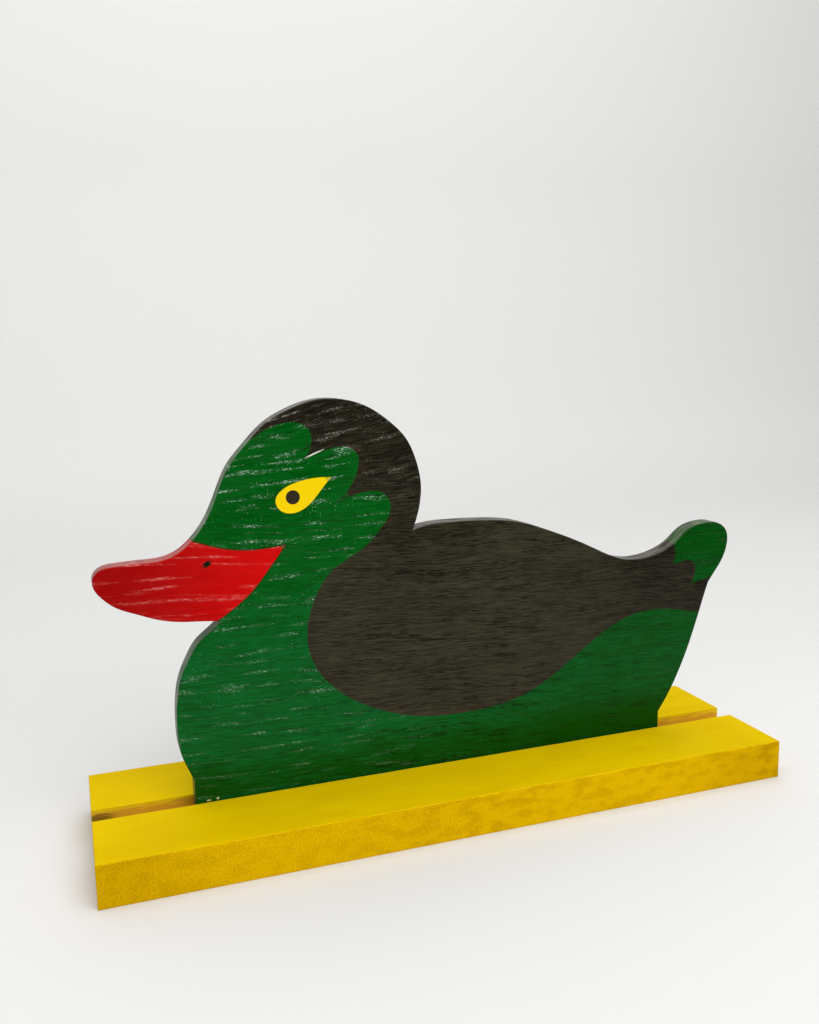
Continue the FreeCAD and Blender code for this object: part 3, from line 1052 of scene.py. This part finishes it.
def make_duck_paint():
    """Semi-gloss paint over open-grained board: green, with a black back, a red bill and a
    yellow eye. The sawn edge is streaked along its length and a little dusty, and the paint
    is thin on the sanded edges."""
    material, tree, shader = new_material("painted_open_grained_board", 0.25, 0.09)
    board = read_board(tree)
    black_inside = painted(tree, board, "black_area", BORDER_WAVER)
    colour = mix_colour(tree, black_inside, green_coat(tree, board), black_coat(tree, board))
    red_inside = painted(tree, board, "red_area", BORDER_WAVER)
    colour = mix_colour(tree, red_inside, colour, red_coat(tree, board))
    beyond = times(tree, mark_value(tree, "red_area"), -1.0)
    overlap = times(
        tree, soft_step(tree, beyond, 0.65, 0.35), soft_step(tree, beyond, -0.05, 0.15), 0.7
    )
    colour = mix_colour(tree, overlap, colour, OVERLAP)
    for area, paint in (("eye_area", YELLOW), ("pupil_area", PUPIL), ("nostril_area", NOSTRIL)):
        colour = mix_colour(tree, painted(tree, board, area, FINE_WAVER), colour, paint)
    colour = with_bare_spots(tree, board, colour)

    off_middle = calculate(tree, "ABSOLUTE", board.y)
    sawn = soft_step(tree, off_middle, BOARD_HALF - 0.1, BOARD_HALF - 0.7)
    along_edge = place_from(tree, mark_value(tree, "around"), board.y)
    saw_lines = soft_step(tree, noise_value(tree, along_edge, (12.0, 1.1, 5.0), 3.0), 0.38, 0.62)
    colour = mix_colour(tree, times(tree, sawn, saw_lines, 0.4), colour, EDGE_DEEP)
    dusty = times(tree, sawn, calculate(tree, "SUBTRACT", 1.0, saw_lines), 0.3)
    colour = mix_colour(tree, dusty, colour, GREY_DUST_WEAR_AND_GLINT)
    worn = use_group(tree, worn_arris, {
        "Arris": mark_value(tree, "arris"), "Place": board.straight, "Amount": 0.45,
    })["Worn"]
    colour = mix_colour(tree, times(tree, worn, 0.35), colour, GREY_DUST_WEAR_AND_GLINT)
    feed(tree, shader.inputs["Base Color"], colour)

    rough_face = soft_step(tree, board.coat, 0.3, 0.7, 0.20, 0.32)
    rough_edge = times(tree, sawn, calculate(tree, "MULTIPLY_ADD", saw_lines, 0.12, 0.02))
    feed(tree, shader.inputs["Roughness"], calculate(tree, "ADD", rough_face, rough_edge))
    on_face = calculate(tree, "SUBTRACT", 1.0, sawn)
    face_height = times(tree, board.pores["Height"], on_face)
    lines = times(tree, sawn, saw_lines)
    height = calculate(tree, "MULTIPLY_ADD", lines, -0.8, face_height)
    feed(tree, shader.inputs["Normal"], bumps(tree, height, 0.45, 0.10))
    return material


def make_base_paint():
    """Thin yellow paint on fibreboard: even on the top, speckled and blotched on the sawn
    edges, where it has soaked in, and brown and streaky down in the groove."""
    material, tree, shader = new_material("painted_fibreboard", 0.62, 0.01)
    place = use_group(tree, board_place)["Straight"]
    brush = use_group(tree, brush_marks, {"Place": place, "Length": 26.0})
    x, _, z = parts_of(tree, place)

    lines = soft_step(tree, brush["Lines"], 0.3, 0.7)
    coat = soft_step(tree, brush["Coat"], 0.35, 0.65)
    fibre = noise_value(tree, place, (0.75, 0.6, 0.55), 3.0)
    specks = soft_step(tree, fibre, 0.34, 0.66)
    ends = soft_step(tree, calculate(tree, "ABSOLUTE", x), 95.0, 150.0)
    thin = calculate(tree, "MULTIPLY_ADD", lines, 0.07, times(tree, coat, 0.10))
    thin = calculate(tree, "MULTIPLY_ADD", specks, 0.09, thin)
    thin = calculate(tree, "MULTIPLY_ADD", ends, 0.06, thin)
    top = mix_colour(tree, thin, BASE_TOP, BASE_SOAKED)

    patches = soft_step(tree, noise_value(tree, place, (9.0, 6.0, 5.0), 4.0), 0.44, 0.6)
    spread = soft_step(tree, noise_value(tree, place, (60.0, 60.0, 60.0), 1.0), 0.35, 0.65)
    strength = calculate(tree, "MULTIPLY_ADD", spread, 0.14, 0.12)
    strength = times(tree, strength, soft_step(tree, x, -125.0, -70.0, 0.5, 1.0))
    grainy = soft_step(tree, x, 40.0, -20.0, 0.28, 0.42)
    soaked = calculate(tree, "MULTIPLY_ADD", specks, grainy, times(tree, patches, strength))
    soaked = calculate(tree, "ADD", soaked, times(tree, ends, 0.22))
    soaked = calculate(tree, "ADD", soaked, soft_step(tree, x, 85.0, 140.0, 0.0, 0.06))
    sawn = mix_colour(tree, soaked, BASE_SAWN, BASE_SOAKED)
    colour = mix_colour(tree, mark_value(tree, "sawn"), top, sawn)

    depth = calculate(tree, "SUBTRACT", float(BASE_TOP_Z), z)
    streaks = soft_step(tree, noise_value(tree, place, (10.0, 3.0, 0.8), 3.0), 0.35, 0.65)
    uneven = calculate(tree, "MULTIPLY_ADD", streaks, 2.6, depth)
    groove_tone = mix_colour(tree, soft_step(tree, uneven, 1.0, 4.5), GROOVE_THIN, GROOVE_BROWN)
    # A dark patch low in the groove at its left end.
    dark_patch_at_left_end = times(
        tree, soft_step(tree, x, -144.0, -151.0), soft_step(tree, uneven, 3.8, 5.2), 0.75
    )
    groove_tone = mix_colour(tree, dark_patch_at_left_end, groove_tone, GROOVE_DARK)
    colour = mix_colour(tree, mark_value(tree, "groove"), colour, groove_tone)

    worn = use_group(tree, worn_arris, {
        "Arris": mark_value(tree, "arris"), "Place": place, "Amount": 0.6,
    })["Worn"]
    colour = mix_colour(tree, times(tree, worn, 0.45), colour, BASE_WORN)
    feed(tree, shader.inputs["Base Color"], colour)
    height = calculate(tree, "MULTIPLY_ADD", lines, 0.35, fibre)
    feed(tree, shader.inputs["Normal"], bumps(tree, height, 0.4, 0.12))
    return material


# ---------------------------------------------------------------- camera, light and floor

# The camera's lens, where it stands in metres, and how it is turned in degrees: towards
# the tail, downwards, and about its own line of sight.
CAMERA_LENS = 33.9
CAMERA_PLACE = (-0.15453, -0.39440, 0.20449)
CAMERA_HEADING = -19.51
CAMERA_DIP = 9.449
CAMERA_ROLL = -0.9725


def make_camera():
    """A camera in front, just beyond the bill's tip and above the head's height, turned
    towards the tail."""
    data = bpy.data.cameras.new("camera")
    data.lens = CAMERA_LENS
    camera = bpy.data.objects.new("camera", data)
    heading = Matrix.Rotation(math.radians(CAMERA_HEADING), 3, "Z")
    tilt = Matrix.Rotation(math.radians(90.0 - CAMERA_DIP), 3, "X")
    roll = Matrix.Rotation(math.radians(CAMERA_ROLL), 3, "Z")
    camera.matrix_world = (heading @ tilt @ roll).to_4x4()
    camera.location = CAMERA_PLACE
    bpy.context.scene.collection.objects.link(camera)
    bpy.context.scene.camera = camera


# The sweep, in metres: how wide it is, where it starts in front and where it bends up, the
# bend's radius, and its height.
SWEEP_WIDTH = 6.0
SWEEP_FRONT = -2.5
SWEEP_BEND = 0.62
SWEEP_RADIUS = 0.5
SWEEP_HEIGHT = 3.0
FLOOR_SAMPLES = 11
BEND_SAMPLES = 25

CARD_FRONT = shade(232, 232, 231)
CARD_SHADE_BEHIND = shade(218, 218, 217)
CARD_BEND = shade(226, 226, 224)
CARD_LIT_HIGH = shade(242, 241, 239)
CARD_MIRRORED = shade(8, 8, 8)


def make_sweep():
    """The pale floor and backdrop: a sheet that runs back, bends up in a quarter circle and
    rises, carried along X.

    Its tone falls from the front to behind the piece, a painted shade, and rises again up the
    backdrop, a painted light. The paint mirrors only the floor close to the piece, as the room
    in front is dark.
    """
    turns = np.linspace(0.0, 0.5 * math.pi, BEND_SAMPLES)
    bend_y = SWEEP_BEND + SWEEP_RADIUS * np.sin(turns)
    bend_z = SWEEP_RADIUS * (1.0 - np.cos(turns))
    floor_y = np.linspace(SWEEP_FRONT, SWEEP_BEND, FLOOR_SAMPLES, endpoint=False)
    y = np.concatenate([floor_y, bend_y, [bend_y[-1]]])
    z = np.concatenate([np.zeros(FLOOR_SAMPLES), bend_z, [SWEEP_HEIGHT]])
    x = np.array([-0.5, 0.5]) * SWEEP_WIDTH
    points = np.stack(np.broadcast_arrays(x[:, None], y[None], z[None]), axis=2).reshape(-1, 3)
    numbers = np.arange(len(points)).reshape(2, len(y))
    faces = np.stack(
        [numbers[0, :-1], numbers[1, :-1], numbers[1, 1:], numbers[0, 1:]], axis=1
    )
    sweep = make_mesh("pale_sweep", points / MM, faces.tolist(), {})
    material, tree, shader = new_material("pale_card", 0.9, 0.1)
    _, y, z = parts_of(tree, add_node(tree, "ShaderNodeTexCoord").outputs["Object"])
    # Painted shade behind the piece, and painted light up the backdrop.
    card = mix_colour(tree, soft_step(tree, y, -0.25, 0.2), CARD_FRONT, CARD_SHADE_BEHIND)
    card = mix_colour(tree, soft_step(tree, z, -0.03, 0.08), card, CARD_BEND)
    card = mix_colour(tree, soft_step(tree, z, 0.0, 0.6), card, CARD_LIT_HIGH)
    mirrored = add_node(tree, "ShaderNodeLightPath").outputs["Is Glossy Ray"]
    dim = times(tree, mirrored, soft_step(tree, y, -0.12, -0.48))
    feed(tree, shader.inputs["Base Color"], mix_colour(tree, dim, card, CARD_MIRRORED))
    sweep.data.materials.append(material)


def make_softbox(name, place, aim, width, height, watts):
    """A rectangular area light at a place, turned towards the point it is aimed at."""
    data = bpy.data.lights.new(name, "AREA")
    data.shape = "RECTANGLE"
    data.size, data.size_y = width, height
    data.energy = watts
    light = bpy.data.objects.new(name, data)
    light.location = place
    light.rotation_euler = (Vector(aim) - Vector(place)).to_track_quat("-Z", "Y").to_euler()
    bpy.context.scene.collection.objects.link(light)


ROOM_FOR_LIGHT = (0.26, 0.26, 0.26, 1.0)
ROOM_MIRRORED = (0.01, 0.01, 0.01, 1.0)
ROOM_SEEN = (0.80, 0.79, 0.77, 1.0)


def make_world():
    """A pale room for the camera, a dimmer one for the light that falls on the piece, and a
    dark one for what the paint mirrors."""
    world = bpy.data.worlds.new("pale_room")
    world.use_nodes = True
    tree = world.node_tree
    tree.nodes.clear()
    ray = add_node(tree, "ShaderNodeLightPath").outputs
    colour = mix_colour(tree, ray["Is Glossy Ray"], ROOM_FOR_LIGHT, ROOM_MIRRORED)
    colour = mix_colour(tree, ray["Is Camera Ray"], colour, ROOM_SEEN)
    background = add_node(tree, "ShaderNodeBackground", {"Color": colour})
    output = tree.nodes.new("ShaderNodeOutputWorld")
    tree.links.new(background.outputs[0], output.inputs["Surface"])
    bpy.context.scene.world = world


def make_lights():
    """A broad box overhead, and a weaker key in front and to the right."""
    make_softbox(
        "overhead_box", place=(0.05, -0.1, 1.7), aim=(0.0, 0.1, 0.0), width=2.2, height=2.2,
        watts=27.5,
    )
    make_softbox(
        "key_box", place=(0.35, -1.3, 1.2), aim=(0.0, 0.0, 0.06), width=1.4, height=1.2,
        watts=12.0,
    )


bpy.context.scene.view_settings.view_transform = "Standard"
make_camera()
make_world()
make_lights()
make_sweep()
duck = make_duck()
duck.data.materials.append(make_duck_paint())
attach(duck, "duck")
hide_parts("duck_board")
base = make_base()
base.data.materials.append(make_base_paint())
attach(base, "base")
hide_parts("grooved_base")
